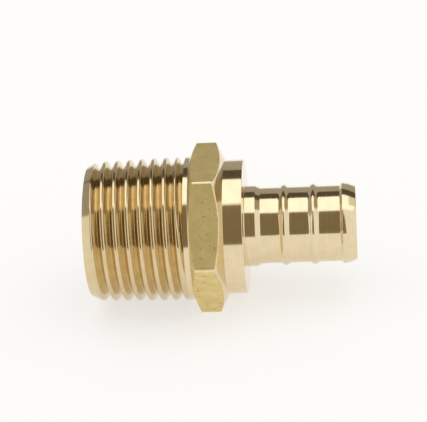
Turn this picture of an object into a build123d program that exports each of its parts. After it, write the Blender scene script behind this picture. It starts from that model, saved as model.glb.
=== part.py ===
from build123d import *
import os
from math import atan, ceil, cos, degrees, radians, sin, tan

# A brass adapter between plastic tube and threaded pipe, turned and forged in one piece: a barbed
# insert for 1/2 inch cross-linked polyethylene tube at one end, a collar that stops the tube, a
# hexagon for the wrench, and a 1/2-14 tapered male pipe thread at the other end. A stepped
# waterway runs right through it. Sizes are in millimetres.

# Tapered pipe thread, 1/2-14, right-hand
thread_pitch = 25.4 / 14
thread_taper = 1 / 16              # growth in diameter for each unit of length
thread_pitch_diameter = 19.264     # at the small end
thread_flank_angle = 30.0          # each flank, from the plane square to the axis
thread_crest_cut = 0.06            # taken off the sharp crest, as a share of the pitch
thread_blank_diameter = 21.3       # bar size that the larger crests run out to
thread_length = 14.55              # from the small end to the shoulder that ends the groove
thread_runout_turns = 1.0          # the groove climbs out of the metal over this many turns
thread_end_chamfer = 0.55
thread_start_angle = 192.0         # where the groove enters the end face, from the lower flat

# Hexagon
neck_length = 0.5                  # plain ring between the thread and the flare
flare_length = 0.55                # cone from the neck up to the face of the hexagon
flare_inset = 0.1                  # the cone's wide end lies this far inside the flats
hexagon_across_flats = 22.0
hexagon_length = 4.7
hexagon_corner_radius = 0.6
thread_side_chamfer_length = 0.65
thread_side_chamfer_diameter = 22.1
barb_side_chamfer_length = 1.3
barb_side_chamfer_diameter = 20.2

# Collar that the tube is pushed up to
collar_diameter = 19.9
collar_length = 2.85

# Barb
barb_length = 16.35
barb_crest_diameter = 12.0
barb_groove_diameter = 11.25
seat_land_length = 1.75            # full-size ring at the foot of the collar
seat_slope_length = 0.9
rib_centres = (5.8, 10.1)          # from the collar's face
rib_crest_width = 0.6
rib_base_width = 1.3
end_land_length = 2.0
end_slope_length = 0.35
nose_taper_length = 1.3
nose_taper_depth = 0.45

# Waterway
barb_bore_diameter = 9.0
thread_bore_diameter = 15.0
thread_bore_depth = 15.5
drill_point_angle = 118.0

# Stations along the axis, from the thread's small end
neck_start = thread_length
flare_start = neck_start + neck_length
hexagon_start = flare_start + flare_length
hexagon_end = hexagon_start + hexagon_length
collar_end = hexagon_end + collar_length
barb_end = collar_end + barb_length

thread_half_height = thread_pitch / 4 / tan(radians(thread_flank_angle))
thread_crest_start = thread_pitch_diameter / 2 + thread_half_height - thread_crest_cut * thread_pitch
groove_overrun = 0.03              # how far the thread cutter stands out past the crests
runout_clearance = 0.35            # how far it has climbed clear of them at its end


def turned(*points):
    """Solid of revolution about Z from (radius, height) points, closed along the axis."""
    first = (0, points[0][1])
    last = (0, points[-1][1])
    outline = Polyline([(radius, 0, height) for radius, height in (first, *points, last)], close=True)
    return revolve(make_face(outline), Axis.Z)


def thread_blank():
    """Bar turned down to the taper of the crests over the thread's length, and plain after it."""
    bar_radius = thread_blank_diameter / 2
    mouth_radius = thread_crest_start - thread_end_chamfer
    chamfer_top = thread_end_chamfer / (1 - thread_taper / 2)
    chamfer_radius = mouth_radius + chamfer_top
    crest_cone = turned(
        (mouth_radius, 0),
        (chamfer_radius, chamfer_top),
        (thread_crest_start + neck_start * thread_taper / 2, neck_start),
    )
    bar = turned((bar_radius, 0), (bar_radius, neck_start))
    neck = turned((bar_radius, neck_start), (bar_radius, hexagon_start))
    return (crest_cone & bar) + neck


def groove_cutter():
    """V-shaped coil that cuts the thread: a tapered helix, then a short steep one that climbs out.

    The V stands square to the axis. Each of its corners follows its own helix, and ruled faces
    join neighbouring helices, one turn at a time.
    """
    flank_spread = tan(radians(thread_flank_angle))
    root_start = thread_pitch_diameter / 2 - thread_half_height
    depth = thread_crest_start + groove_overrun - root_start
    mouth_half_width = depth * flank_spread
    lead_in = -thread_pitch
    full_turns = (thread_length - mouth_half_width - lead_in) / thread_pitch
    full_slope = thread_taper / 2
    runout_slope = (depth + runout_clearance) / (thread_runout_turns * thread_pitch)
    root_radius = root_start + lead_in * full_slope
    corners = [
        (root_radius, lead_in),
        (root_radius + depth, lead_in + mouth_half_width),
        (root_radius + depth, lead_in - mouth_half_width),
    ]
    angle = thread_start_angle
    skin = [v_section(corners, angle)]
    for turns, slope in ((full_turns, full_slope), (thread_runout_turns, runout_slope)):
        steps = ceil(turns)
        rise = turns / steps * thread_pitch
        for _ in range(steps):
            edges = [conical_helix(radius, height, rise, slope, angle) for radius, height in corners]
            skin += [Face.make_surface_from_curves(edges[i - 1], edges[i]) for i in range(3)]
            corners = [(radius + slope * rise, height + rise) for radius, height in corners]
            angle += 360 * rise / thread_pitch
    skin.append(v_section(corners, angle))
    return Solid(Shell(Face.sew_faces(skin)[0]))


def conical_helix(radius, height, rise, slope, angle):
    """Right-hand helix about Z from (radius, height) at the angle; the radius grows by the slope."""
    lean = atan(slope)
    helix = Edge.make_helix(thread_pitch / cos(lean), rise, radius, (0, 0, height), angle=degrees(lean))
    return helix.rotate(Axis.Z, angle)


def v_section(corners, angle):
    """Flat face across the V, in the half-plane through the axis at the angle."""
    turn = radians(angle)
    points = [(radius * cos(turn), radius * sin(turn), height) for radius, height in corners]
    return Face(Wire.make_polygon(points))


def hexagon():
    """Forged hexagon with rounded corners, its ends chamfered all round."""
    prism = extrude(
        Plane.XY.offset(hexagon_start)
        * RegularPolygon(hexagon_across_flats / 2, 6, major_radius=False, rotation=30),
        hexagon_length,
    )
    prism = fillet(prism.edges().filter_by(Axis.Z), hexagon_corner_radius)
    corner_reach = hexagon_across_flats / 2 / cos(radians(30))
    envelope = turned(
        (thread_side_chamfer_diameter / 2, hexagon_start),
        (corner_reach, hexagon_start + thread_side_chamfer_length),
        (corner_reach, hexagon_end - barb_side_chamfer_length),
        (barb_side_chamfer_diameter / 2, hexagon_end),
    )
    return prism & envelope


def barb():
    """Insert with a ring at the collar, two narrow ribs and a longer land at the nose."""
    crest = barb_crest_diameter / 2
    groove = barb_groove_diameter / 2
    points = [
        (crest, collar_end - collar_length / 2),
        (crest, collar_end + seat_land_length),
        (groove, collar_end + seat_land_length + seat_slope_length),
    ]
    for centre in rib_centres:
        station = collar_end + centre
        points += [
            (groove, station - rib_base_width / 2),
            (crest, station - rib_crest_width / 2),
            (crest, station + rib_crest_width / 2),
            (groove, station + rib_base_width / 2),
        ]
    land_start = barb_end - end_land_length
    points += [
        (groove, land_start - end_slope_length),
        (crest, land_start),
        (crest, barb_end - nose_taper_length),
        (crest - nose_taper_depth, barb_end),
    ]
    return turned(*points)


def waterway():
    """Large bore from the threaded end, drill point, small bore through the barb."""
    large = thread_bore_diameter / 2
    small = barb_bore_diameter / 2
    point_length = (large - small) / tan(radians(drill_point_angle / 2))
    return turned(
        (large, 0),
        (large, thread_bore_depth),
        (small, thread_bore_depth + point_length),
        (small, barb_end),
    )


def fitting_body():
    threaded = thread_blank() - groove_cutter()
    flare = turned(
        (thread_blank_diameter / 2, flare_start),
        (hexagon_across_flats / 2 - flare_inset, hexagon_start),
    )
    collar = turned(
        (collar_diameter / 2, hexagon_end - hexagon_length / 2),
        (collar_diameter / 2, collar_end),
    )
    return threaded + flare + hexagon() + collar + barb() - waterway()


# Final frame: the thread's small end at the left, the barb along +X, lying on a flat of the hexagon.
body = Pos(-barb_end / 2, 0, hexagon_across_flats / 2) * Rot(0, 90, 0) * fitting_body()
os.makedirs("parts", exist_ok=True)
export_step(body, "parts/fitting_body.step")
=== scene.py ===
import bmesh
import bpy
import numpy as np
from math import cos, pi, radians, sin, tan
from mathutils import Matrix, Vector


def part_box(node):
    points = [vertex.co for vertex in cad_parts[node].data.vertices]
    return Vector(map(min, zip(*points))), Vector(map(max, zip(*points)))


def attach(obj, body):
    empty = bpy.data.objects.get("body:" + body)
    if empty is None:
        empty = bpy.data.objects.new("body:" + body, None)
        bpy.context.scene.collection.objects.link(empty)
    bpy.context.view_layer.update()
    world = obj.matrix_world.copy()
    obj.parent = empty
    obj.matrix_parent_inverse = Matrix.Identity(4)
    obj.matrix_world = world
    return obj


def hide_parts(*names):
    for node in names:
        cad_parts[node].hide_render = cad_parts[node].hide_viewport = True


# A brass adapter between plastic tube and threaded pipe. The dressed skin is one mesh: rings of
# points round the axis, laid along the profile, with the thread's rows following its helix.
# Its box is the solid's, and its groove, ribs and nose are fitted to the photo.
# Stations and radii are in millimetres, from the thread's small end; MM turns them into metres.

MM = 0.001
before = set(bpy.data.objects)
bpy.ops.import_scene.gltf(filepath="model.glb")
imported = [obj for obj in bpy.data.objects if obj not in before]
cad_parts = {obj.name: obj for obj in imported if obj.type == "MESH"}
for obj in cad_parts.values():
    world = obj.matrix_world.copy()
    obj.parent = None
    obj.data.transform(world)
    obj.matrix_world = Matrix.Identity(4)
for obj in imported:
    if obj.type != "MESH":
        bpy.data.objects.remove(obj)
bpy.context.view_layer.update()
low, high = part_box("fitting_body")
origin = Vector((low[0], 0.0, (low[2] + high[2]) / 2))
length = (high[0] - low[0]) / MM
across_flats = (high[2] - low[2]) / MM

# Thread
pitch = 25.4 / 14
taper_slope = 1 / 32
pitch_radius = 9.632
flank_slope = 1 / tan(radians(30))
groove_lift = 0.33                 # the groove is this much shallower than the standard's
root_rounding = 0.05
crest_cut = 0.06 * pitch
blend_to_hexagon = 0.34            # rounding of a crest on its side toward the hexagon
blend_to_end = 0.14                # and on its side toward the small end
groove_overrun = 0.03              # how far the cutter stands out past the crests
bar_radius = 10.65
end_chamfer = 0.57
end_chamfer_slope = 0.45
edge_blend = 0.08                  # small rounding of the end chamfer and the hexagon's edges
face_support = 9.2                 # radius of the end face's last plain ring
groove_angle = radians(102)        # where the groove's root enters the end face, from +Y
thread_end = 14.65
runin_end = 1.35                   # the groove deepens up to here
runin_slope = 3.5
runout_start = 14.65               # the groove is at full depth up to here
runout_turns = 0.35
runout_clearance = 0.35
crowding_start = 13.6
crowding = 0.36                    # from there on the groove drifts up to this much back
thread_turns = range(-2, 10)       # turns that reach into the thread from before and after it

# Hexagon and collar
flare_start = 15.35
hexagon_start = 15.6
hexagon_end = 20.3
flare_radius = across_flats / 2 - 0.1
hexagon_corner_radius = 0.6
thread_side_chamfer = (0.65, 11.05)    # length, radius at the end face
barb_side_chamfer = (1.3, 10.1)
near_cone_rings = 14
flat_rings = 6
far_cone_rings = 20
collar_radius = 9.95
collar_end = 23.15

# Barb
barb_crest = 6.0
barb_groove = 5.625
seat_land = 1.6
seat_slope = 0.75
rib_centres = (5.8, 10.1)
rib_half_base = 0.85
rib_points = 15
end_land = 2.0
end_slope = 0.35
nose_length = 1.9
nose_depth = 0.55
nose_bulge = (0.55, 0.27)          # its middle point, in shares of its length and depth

# Waterway
barb_bore = 4.5
thread_bore = 7.5
thread_bore_depth = 15.5
drill_half_angle = radians(59)
bore_edge = 0.12                   # rounding of the thread bore's mouth

# Mesh
neck_rounding = 0.15
barb_rounding = 0.1
bore_rounding = 0.1
slight_turn = 0.35                 # radians; a corner that turns less isn't rounded
weld_distance = 1.5e-6             # metres
sharpest_smooth = radians(50)
corner_wear_and_highlight = (0.3, 0.75)          # half-width and strength of the rubbed corners, which are also a painted highlight
parting_wear = (0.25, 0.3)         # and of the die's parting line

# Columns round the axis, closer together at the hexagon's corners
corner_spread = radians(3.2)
plain = np.linspace(corner_spread, radians(60) - corner_spread, 35)
corner = np.linspace(-corner_spread, corner_spread, 9)[1:-1]
sector = np.concatenate([corner, plain])
columns = np.concatenate([sector + radians(60) * k for k in range(6)])
count = len(columns)


def smooth_min(a, b, blend):
    """Lesser of a and b, rounded over where they meet."""
    mix = np.clip(0.5 + 0.5 * (b - a) / blend, 0, 1)
    return b + (a - b) * mix - blend * mix * (1 - mix)


def hexagon_radius(angle):
    """Distance from the axis to the rounded hexagon, with a flat at the top and the bottom."""
    apothem = across_flats / 2
    from_corner = np.abs((angle + pi / 6) % (pi / 3) - pi / 6)
    flat = apothem / np.cos(pi / 6 - from_corner)
    centre = (apothem - hexagon_corner_radius) / cos(pi / 6)
    arc = centre * np.cos(from_corner)
    arc += np.sqrt(np.maximum(hexagon_corner_radius**2 - (centre * np.sin(from_corner)) ** 2, 0))
    arc_end = hexagon_corner_radius / 2 * 1.05      # a little past where it meets the flat
    near_corner = centre * np.sin(from_corner) < arc_end
    return np.where(near_corner, np.minimum(flat, arc), flat)


def thread_radius(station, angle):
    """Radius of the tapered thread, with its run-out, end chamfer and bar-sized crests."""
    half_height = pitch / 4 * flank_slope
    root_start = pitch_radius - half_height
    crest = np.minimum(pitch_radius + half_height - crest_cut + station * taper_slope, bar_radius)
    depth = 2 * half_height - crest_cut + groove_overrun
    climb = (depth + runout_clearance) / (runout_turns * pitch)
    radius = crest.copy()
    turn = angle / (2 * pi) - groove_angle / (2 * pi)
    for k in thread_turns:
        root_station = pitch * (turn + k)
        root = root_start + groove_lift + root_station * taper_slope
        root = root + np.maximum(root_station - runout_start, 0) * climb
        root = root + np.maximum(runin_end - root_station, 0) * runin_slope
        root_station = root_station - crowding * np.clip(root_station - crowding_start, 0, 1)
        across = np.sqrt((station - root_station) ** 2 + root_rounding**2) - root_rounding
        flank = root + across * flank_slope
        blend = np.where(station < root_station, blend_to_hexagon, blend_to_end)
        radius = smooth_min(radius, flank, blend)
    mouth_radius = pitch_radius + half_height - crest_cut - end_chamfer
    return smooth_min(radius, mouth_radius + station * end_chamfer_slope, edge_blend)


def rounded(points, radius, steps=4):
    """Polyline of (station, radius) with its sharper corners rounded, and support points by them."""
    result = [np.array(points[0], float)]
    for before, here, after in zip(points, points[1:], points[2:]):
        before, here, after = (np.array(p[:2], float) for p in (before, here, after))
        into = (here - before) / np.linalg.norm(here - before)
        out = (after - here) / np.linalg.norm(after - here)
        turn = abs(np.arccos(np.clip(into @ out, -1, 1)))
        if turn < slight_turn:
            result.append(here)
            continue
        reach = radius * tan(turn / 2)
        reach = min(reach, 0.33 * np.linalg.norm(here - before), 0.33 * np.linalg.norm(after - here))
        start, end = here - into * reach, here + out * reach
        result.append(start - into * reach * 0.35)
        for t in np.linspace(0, 1, steps + 1):
            result.append((1 - t) ** 2 * start + 2 * t * (1 - t) * here + t**2 * end)
        result.append(end + out * reach * 0.35)
    result.append(np.array(points[-1], float))
    return result


def ring(station, radius):
    """Points of one ring; both values may vary with the column."""
    station = np.broadcast_to(station, (count,))
    radius = np.broadcast_to(radius, (count,))
    return np.stack([station, radius * np.cos(columns), radius * np.sin(columns)], axis=1)


THREAD, TURNED, FORGED, BORED = range(4)
vertices = []
faces = []
face_materials = []


def add_ring(station, radius):
    """Adds one ring of vertices and returns the index of its first one."""
    start = len(vertices)
    vertices.extend(ring(station, radius))
    return start


def bridge(first, second, materials):
    """Quads between two rings; one material, or one for each column."""
    materials = np.broadcast_to(materials, (count,))
    for j in range(count):
        k = (j + 1) % count
        faces.append((first + j, first + k, second + k, second + j))
        face_materials.append(int(materials[j]))


def lay(points, material, first=None, limit=None, cone=None):
    """Rings along a profile of (station, radius), joined in order. limit caps the radii by column,
    and cone is the material of what it leaves of the profile.
    """
    previous = first
    for station, radius in points:
        materials = material
        if cone is not None:
            materials = np.where(radius < limit - 0.03, cone, material)
        if limit is not None:
            radius = smooth_min(radius, limit, edge_blend)
        here = add_ring(station, radius)
        if previous is not None:
            bridge(previous, here, materials)
        previous = here
    return previous


# Thread: the rows follow the helix and are held between the two ends
half_profile = [0.0, 0.03, 0.07, 0.14, 0.22, 0.30, 0.37, 0.415, 0.44, 0.46, 0.475]
profile = half_profile + [0.5] + [1 - u for u in reversed(half_profile[1:])]
per_turn = len(profile)
thread_rows = []
for k in thread_turns:
    for u in profile:
        station = pitch * ((columns - groove_angle) / (2 * pi) + k + u)
        station = np.clip(station, 0.0, thread_end)
        thread_rows.append(add_ring(station, thread_radius(station, columns)))
for i in range(len(thread_rows) - per_turn - 1):
    for j in range(count):
        here, above = thread_rows[i] + j, thread_rows[i + 1] + j
        if j < count - 1:
            beside, across = here + 1, above + 1
        else:
            beside, across = thread_rows[i + per_turn], thread_rows[i + 1 + per_turn]
        faces.append((here, beside, across, above))
        face_materials.append(THREAD)

# End face at the thread, from the bore outwards
mouth = thread_radius(np.zeros(count), columns)
bore_mouth = [
    (bore_edge, thread_bore),
    (bore_edge / 3, thread_bore + bore_edge / 4),
    (0.0, thread_bore + bore_edge),
    (0.0, thread_bore + 0.3),
    (0.0, face_support),
]
face_edge = lay(bore_mouth, TURNED)
bridge(face_edge, lay([(0.0, mouth)], TURNED), TURNED)

# Neck and flare, with the wall that ends the groove
neck = [(thread_end, bar_radius), (flare_start, bar_radius), (hexagon_start, flare_radius)]
after_neck = lay(rounded(neck, neck_rounding), TURNED, thread_rows[-1])

# Hexagon
limit = hexagon_radius(columns)
reach = across_flats / 2 / cos(pi / 6) + 0.05
near_length, near_radius = thread_side_chamfer
far_length, far_radius = barb_side_chamfer
near_face = lay([(hexagon_start, near_radius - 0.03)], FORGED, after_neck, limit)
near_cone = [(hexagon_start + near_length * t, near_radius + (reach - near_radius) * t)
             for t in np.linspace(0.03, 1, near_cone_rings)]
flats_start = hexagon_start + near_length + 0.1
flats_end = hexagon_end - far_length - 0.1
flats = [(station, reach + 0.2) for station in np.linspace(flats_start, flats_end, flat_rings)]
far_cone = [(hexagon_end - far_length * t, far_radius + (reach - far_radius) * t)
            for t in np.linspace(1, 0.02, far_cone_rings)]
after_flats = lay(near_cone + flats, FORGED, near_face, limit)
after_hexagon = lay(far_cone, FORGED, after_flats, limit, TURNED)

# Collar and barb
barb_points = [
    (hexagon_end, far_radius),
    (hexagon_end + 0.02, collar_radius),
    (collar_end, collar_radius),
    (collar_end, barb_crest),
    (collar_end + seat_land, barb_crest),
    (collar_end + seat_land + seat_slope, barb_groove),
]
for centre in rib_centres:
    for t in np.linspace(-1, 1, rib_points):
        swell = (barb_crest - barb_groove) * (0.5 + 0.5 * cos(pi * t))
        barb_points.append((collar_end + centre + t * rib_half_base, barb_groove + swell))
barb_points += [
    (length - end_land - end_slope, barb_groove),
    (length - end_land, barb_crest),
    (length - nose_length, barb_crest),
    (length - nose_length * nose_bulge[0], barb_crest - nose_depth * nose_bulge[1]),
    (length, barb_crest - nose_depth),
    (length, barb_bore),
    (length - 1.0, barb_bore),
]
after_barb = lay(rounded(barb_points, barb_rounding, 3), TURNED, after_hexagon)

# Waterway
drill_length = (thread_bore - barb_bore) / tan(drill_half_angle)
waterway = [
    (length - 1.2, barb_bore),
    (thread_bore_depth + drill_length, barb_bore),
    (thread_bore_depth, thread_bore),
    (0.4, thread_bore),
    (0.2, thread_bore),
]
last = lay(rounded(waterway, bore_rounding, 2), BORED, after_barb)
bridge(last, lay([(bore_edge, thread_bore)], BORED), BORED)

# The skin as one welded mesh
mesh = bpy.data.meshes.new("fitting_skin")
places = np.array(vertices) * MM + np.array(origin)
mesh.from_pydata(places.tolist(), [], faces)
mesh.polygons.foreach_set("material_index", face_materials)
mesh.update()
skin = bpy.data.objects.new("brass_fitting", mesh)
bpy.context.scene.collection.objects.link(skin)

shape = bmesh.new()
shape.from_mesh(mesh)
bmesh.ops.remove_doubles(shape, verts=shape.verts, dist=weld_distance)
bmesh.ops.recalc_face_normals(shape, faces=shape.faces)
shape.to_mesh(mesh)
shape.free()
mesh.shade_smooth()
mesh.set_sharp_from_angle(angle=sharpest_smooth)

# Wear along the forging's corners and its parting line, for the forged brass; along the corners it is
# also a painted highlight
wear_and_highlight = mesh.attributes.new("wear_and_highlight", "FLOAT", "POINT")
points = np.empty(len(mesh.vertices) * 3)
mesh.vertices.foreach_get("co", points)
points = (points.reshape(-1, 3) - np.array(origin)) / MM
angle = np.arctan2(points[:, 2], points[:, 1])
from_corner = np.abs((angle + pi / 6) % (pi / 3) - pi / 6) * across_flats / 2
corner_rub_and_highlight = corner_wear_and_highlight[1] * np.exp(-((from_corner / corner_wear_and_highlight[0]) ** 2))
on_parting = parting_wear[1] * np.exp(-((points[:, 1] / parting_wear[0]) ** 2))
wear_and_highlight.data.foreach_set("value", corner_rub_and_highlight + on_parting)


def new_material(name):
    material = bpy.data.materials.new(name)
    material.use_nodes = True
    return material, material.node_tree.nodes, material.node_tree.links


def noise(nodes, links, coordinates, scale, detail, dimensions="3D"):
    """Noise texture; scale is in features per metre."""
    texture = nodes.new("ShaderNodeTexNoise")
    texture.noise_dimensions = dimensions
    texture.inputs["Scale"].default_value = scale
    texture.inputs["Detail"].default_value = detail
    links.new(coordinates, texture.inputs["W" if dimensions == "1D" else "Vector"])
    return texture.outputs["Fac"]


def ramp(nodes, links, factor, start, end):
    """Two-colour ramp from (place, colour) to (place, colour)."""
    node = nodes.new("ShaderNodeValToRGB")
    for element, (place, colour) in zip(node.color_ramp.elements, (start, end)):
        element.position = place
        element.color = (*colour, 1)
    links.new(factor, node.inputs["Fac"])
    return node.outputs["Color"]


def bump(nodes, links, height, distance, strength, below=None):
    """Bump of a height field; distance is in metres."""
    node = nodes.new("ShaderNodeBump")
    node.inputs["Distance"].default_value = distance
    node.inputs["Strength"].default_value = strength
    links.new(height, node.inputs["Height"])
    if below is not None:
        links.new(below, node.inputs["Normal"])
    return node.outputs["Normal"]


def lathe_brass(name, pale, deep, smoothest, roughest):
    """Brass straight from the lathe: fine rings round the axis over a slightly uneven colour."""
    material, nodes, links = new_material(name)
    shader = nodes["Principled BSDF"]
    shader.inputs["Metallic"].default_value = 1
    coordinates = nodes.new("ShaderNodeTexCoord").outputs["Object"]
    split = nodes.new("ShaderNodeSeparateXYZ")
    links.new(coordinates, split.inputs["Vector"])
    along = split.outputs["X"]
    rings = noise(nodes, links, along, 5200, 4, "1D")
    tone = nodes.new("ShaderNodeMix")
    tone.inputs["Factor"].default_value = 0.4
    links.new(noise(nodes, links, coordinates, 700, 4), tone.inputs["A"])
    links.new(rings, tone.inputs["B"])
    colour = ramp(nodes, links, tone.outputs["Result"], (0.38, deep), (0.62, pale))
    links.new(colour, shader.inputs["Base Color"])
    low = (smoothest,) * 3
    high = (roughest,) * 3
    links.new(ramp(nodes, links, rings, (0.3, low), (0.75, high)), shader.inputs["Roughness"])
    coarse = noise(nodes, links, along, 1500, 2, "1D")
    normal = bump(nodes, links, coarse, 0.000004, 0.5)
    normal = bump(nodes, links, rings, 0.0000012, 0.5, normal)
    links.new(normal, shader.inputs["Normal"])
    return material


def forged_brass():
    """Brass from the forging die, blasted matt: fine grain, shallow pits, and rubbed edges painted
    paler, partly as a highlight.
    """
    material, nodes, links = new_material("forged_brass")
    shader = nodes["Principled BSDF"]
    shader.inputs["Metallic"].default_value = 1
    coordinates = nodes.new("ShaderNodeTexCoord").outputs["Object"]
    tone = noise(nodes, links, coordinates, 700, 5)
    colour = ramp(nodes, links, tone, (0.3, (0.77, 0.62, 0.27)), (0.7, (0.87, 0.72, 0.35)))
    pits = noise(nodes, links, coordinates, 1500, 1)
    pit_depth = ramp(nodes, links, pits, (0.64, (0, 0, 0)), (0.72, (1, 1, 1)))
    stain = nodes.new("ShaderNodeMix")
    stain.data_type = "RGBA"
    stain.blend_type = "MULTIPLY"
    links.new(pit_depth, stain.inputs["Factor"])
    links.new(colour, stain.inputs["A"])
    stain.inputs["B"].default_value = (0.74, 0.70, 0.62, 1)
    colour = stain.outputs["Result"]
    # Paler and smoother along the worn corners and parting line; on the corners this is partly a
    # painted highlight
    wear_and_highlight = nodes.new("ShaderNodeAttribute")
    wear_and_highlight.attribute_name = "wear_and_highlight"
    mix = nodes.new("ShaderNodeMix")
    mix.data_type = "RGBA"
    links.new(wear_and_highlight.outputs["Fac"], mix.inputs["Factor"])
    links.new(colour, mix.inputs["A"])
    mix.inputs["B"].default_value = (0.92, 0.78, 0.48, 1)
    links.new(mix.outputs["Result"], shader.inputs["Base Color"])
    rough = nodes.new("ShaderNodeMix")
    links.new(wear_and_highlight.outputs["Fac"], rough.inputs["Factor"])
    rough.inputs["A"].default_value = 0.55
    rough.inputs["B"].default_value = 0.3
    links.new(rough.outputs["Result"], shader.inputs["Roughness"])
    grain = noise(nodes, links, coordinates, 9000, 3)
    swell = noise(nodes, links, coordinates, 900, 2)
    normal = bump(nodes, links, swell, 0.00005, 0.3)
    normal = bump(nodes, links, grain, 0.00001, 0.6, normal)
    pitted = nodes.new("ShaderNodeInvert")
    links.new(pit_depth, pitted.inputs["Color"])
    normal = bump(nodes, links, pitted.outputs["Color"], 0.00003, 0.8, normal)
    links.new(normal, shader.inputs["Normal"])
    return material


pale_brass = (0.82, 0.69, 0.46)
deep_brass = (0.76, 0.63, 0.40)
# The thread's brass is a darker copy of the turned brass: painted shade of its grooves
mesh.materials.append(lathe_brass("threaded_brass_painted_shade", (0.75, 0.61, 0.38), (0.69, 0.55, 0.32), 0.09, 0.17))
mesh.materials.append(lathe_brass("turned_brass", pale_brass, deep_brass, 0.07, 0.16))
mesh.materials.append(forged_brass())
# The bore's brass is a darker copy of the turned brass: painted shade inside the bore; its extra
# roughness is real
mesh.materials.append(lathe_brass("bored_brass_painted_shade", deep_brass, (0.70, 0.54, 0.32), 0.2, 0.32))

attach(skin, "root")
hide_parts("fitting_body")


# Stage: a pale floor, brought up to white for the camera and for reflections, its shadow kept,
# and flags that give the turned metal its dark bands


def panel(name, corners, material):
    """Flat stage panel from its four corners."""
    data = bpy.data.meshes.new(name)
    data.from_pydata(corners, [], [(0, 1, 2, 3)])
    data.materials.append(material)
    thing = bpy.data.objects.new(name, data)
    bpy.context.scene.collection.objects.link(thing)
    return thing


def seen_directly(nodes, links):
    """1 for camera, glossy and transmission rays, and 0 for diffuse ones."""
    path = nodes.new("ShaderNodeLightPath")
    most = path.outputs["Is Camera Ray"]
    for name in ("Is Glossy Ray", "Is Transmission Ray"):
        larger = nodes.new("ShaderNodeMath")
        larger.operation = "MAXIMUM"
        links.new(most, larger.inputs[0])
        links.new(path.outputs[name], larger.inputs[1])
        most = larger.outputs[0]
    return most


floor_material, nodes, links = new_material("pale_floor")
paint = nodes["Principled BSDF"]
paint.inputs["Base Color"].default_value = (0.5, 0.495, 0.485, 1)
paint.inputs["Roughness"].default_value = 0.9
paint.inputs["Emission Color"].default_value = (1, 0.99, 0.97, 1)
lift = nodes.new("ShaderNodeMath")
lift.operation = "MULTIPLY"
links.new(seen_directly(nodes, links), lift.inputs[0])
lift.inputs[1].default_value = 0.62
links.new(lift.outputs[0], paint.inputs["Emission Strength"])
reach_out = 3.0                     # metres from the fitting to the floor's edges
panel("floor", [(-reach_out, -reach_out, 0), (reach_out, -reach_out, 0),
                (reach_out, reach_out, 0), (-reach_out, reach_out, 0)], floor_material)


def card(name, corners, level):
    """Studio flag, dimmer than the room, that only reflections see."""
    material, nodes, links = new_material(name)
    nodes.remove(nodes["Principled BSDF"])
    glow = nodes.new("ShaderNodeEmission")
    glow.inputs["Color"].default_value = (*level, 1)
    links.new(glow.outputs[0], nodes["Material Output"].inputs["Surface"])
    thing = panel(name, corners, material)
    thing.visible_camera = False
    thing.visible_diffuse = False
    thing.visible_shadow = False


def flag(name, x, y, z, level):
    """Card from the line (y[0], z[0]) up to the line (y[1], z[1]), between two x."""
    card(name, [(x[0], y[0], z[0]), (x[1], y[0], z[0]), (x[1], y[1], z[1]), (x[0], y[1], z[1])], level)


flag("front_flag", (-0.48, 0.19), (-0.5, -0.5), (0.0, 1.15), (0.235, 0.19, 0.115))
flag("back_flag", (-0.5, 0.5), (0.50, 0.353), (0.40, 0.69), (0.10, 0.085, 0.055))
flag("back_card", (-0.5, 0.5), (0.50, 0.50), (0.0, 0.42), (0.42, 0.40, 0.37))
left_corners = [(-0.52, 0, 0), (-0.52, 0.6, 0), (-0.52, 0.6, 1.2), (-0.52, -0.5, 1.1)]
right_corners = [(0.56, 0, 0.4), (0.56, 0.6, 0.1), (0.56, 0.6, 1.2), (0.56, -0.1, 1.1)]
card("left_flag", left_corners, (0.42, 0.40, 0.37))
card("right_flag", right_corners, (0.42, 0.36, 0.25))

# Camera
azimuth, elevation, roll = radians(4.8), radians(29.3), radians(-4.3)
distance = 0.262
focal_length = 148.47               # mm, on a sensor 36 mm wide
frame_shift = (-0.02319, 0.03724)   # in widths of the picture
centre = Vector((0, 0, origin.z))
back = Vector((sin(azimuth) * cos(elevation), -cos(azimuth) * cos(elevation), sin(elevation)))
right = (-back).cross(Vector((0, 0, 1))).normalized()
up = right.cross(-back)
turned_right = right * cos(roll) + up * sin(roll)
turned_up = up * cos(roll) - right * sin(roll)
camera_data = bpy.data.cameras.new("camera")
camera = bpy.data.objects.new("camera", camera_data)
bpy.context.scene.collection.objects.link(camera)
camera.matrix_world = Matrix.Translation(centre + back * distance) @ Matrix(
    (turned_right, turned_up, back)).transposed().to_4x4()
camera_data.sensor_width = 36
camera_data.lens = focal_length
camera_data.shift_x, camera_data.shift_y = frame_shift
camera_data.clip_start = 0.01
bpy.context.scene.camera = camera

# Light: one large softbox overhead and a plain white room
softbox_level = 0.45                # radiance, where the white room is 1
world = bpy.data.worlds.new("world")
bpy.context.scene.world = world
world.use_nodes = True
nodes, links = world.node_tree.nodes, world.node_tree.links
background = nodes["Background"]
background.inputs["Color"].default_value = (1, 1, 1, 1)
room_level = nodes.new("ShaderNodeMix")
links.new(seen_directly(nodes, links), room_level.inputs["Factor"])
room_level.inputs["A"].default_value = 0.6
room_level.inputs["B"].default_value = 1.0
links.new(room_level.outputs["Result"], background.inputs["Strength"])
softbox_data = bpy.data.lights.new("softbox", "AREA")
softbox_data.shape = "RECTANGLE"
softbox_data.size = 1.05
softbox_data.size_y = 0.616
softbox_data.energy = softbox_level * pi * softbox_data.size * softbox_data.size_y
softbox = bpy.data.objects.new("softbox", softbox_data)
bpy.context.scene.collection.objects.link(softbox)
softbox.location = (0, 0.043, 0.7)
bpy.context.scene.view_settings.view_transform = "Standard"
